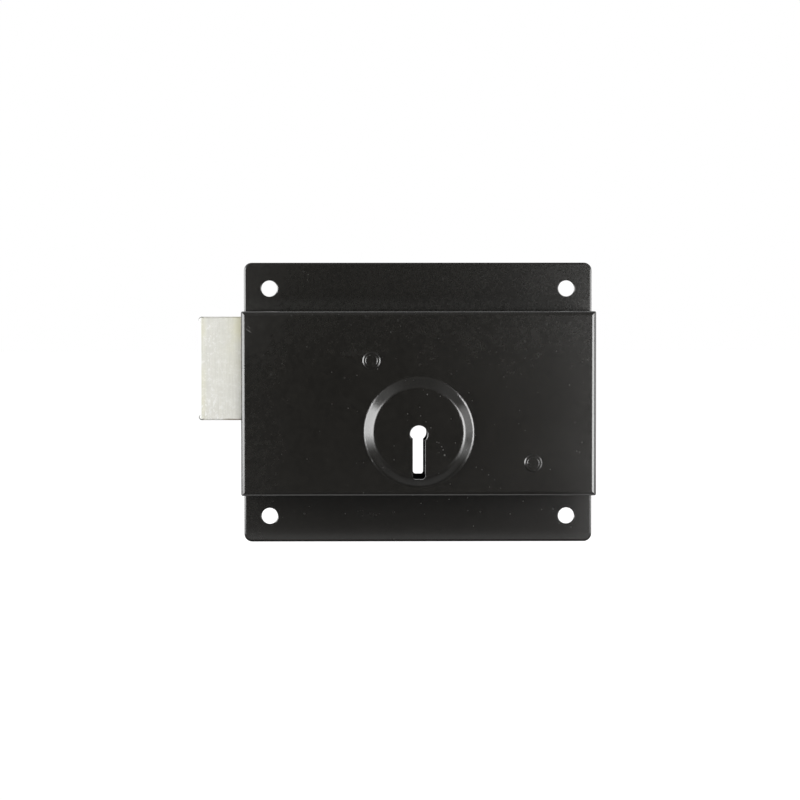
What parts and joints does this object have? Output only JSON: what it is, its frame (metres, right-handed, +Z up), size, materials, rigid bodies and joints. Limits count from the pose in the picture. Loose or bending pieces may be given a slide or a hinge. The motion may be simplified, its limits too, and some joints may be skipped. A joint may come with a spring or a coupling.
{
  "type": "press lock",
  "caption": "Pressed steel lever lock for a door, lid or cupboard, with drilled flanges above and below, a round boss round the keyhole and a thick sliding bolt at one end.",
  "frame": {"origin": "middle of the four fixing screws, on the face of the door that the flanges lie against", "axes": "+X across the case, away from the thrown bolt; +Z up, from the keyhole's slot to its round; -Y out of the front, so +Y goes into the door"},
  "size_m": [0.1137, 0.0184, 0.0812],
  "materials": {
    "black_paint": "black stoving paint, semi-gloss",
    "black_paint_back": "black paint, satin",
    "painted_stud": "steel, its head painted with the case",
    "zinc_screw": "bright zinc plate",
    "inner_steel": "plain steel, lightly oiled",
    "brushed_bolt": "plated, brushed along the height",
    "lever_brass": "rolled sheet, plain",
    "spring_steel": "blued spring strip"
  },
  "bodies": {
    "case": {"case_shell": "black_paint", "back_plate": "black_paint_back", "pivot_stud": "painted_stud", "cap_pillar": "painted_stud", "cap_screw_upper": "zinc_screw", "cap_screw_lower": "zinc_screw", "front_ward": "inner_steel", "rear_ward": "inner_steel", "front_spacer": "inner_steel", "rear_spacer": "inner_steel"},
    "bolt": {"bolt_head": "brushed_bolt", "bolt_tail": "inner_steel", "bolt_rivet_upper": "inner_steel", "bolt_rivet_lower": "inner_steel", "bolt_stump": "inner_steel"},
    "front_lever": {"front_lever": "lever_brass", "front_lever_spring": "spring_steel"},
    "rear_lever": {"rear_lever": "lever_brass", "rear_lever_spring": "spring_steel"}
  },
  "joints": [
    {"name": "bolt_slide", "type": "slide", "parent": "case", "child": "bolt", "axis": [1, 0, 0], "range_m": [0, 0.012]},
    {"name": "front_lever_pivot", "type": "hinge", "parent": "case", "child": "front_lever", "pos_m": [-0.0135, -0.0108, 0.0123], "axis": [0, -1, 0], "range_deg": [-8, 0], "stiffness_Nm_per_rad": 0.15, "springref_deg": -16.04},
    {"name": "rear_lever_pivot", "type": "hinge", "parent": "case", "child": "rear_lever", "pos_m": [-0.0135, -0.005, 0.0123], "axis": [0, -1, 0], "range_deg": [-8, 0], "stiffness_Nm_per_rad": 0.15, "springref_deg": -16.04}
  ]
}
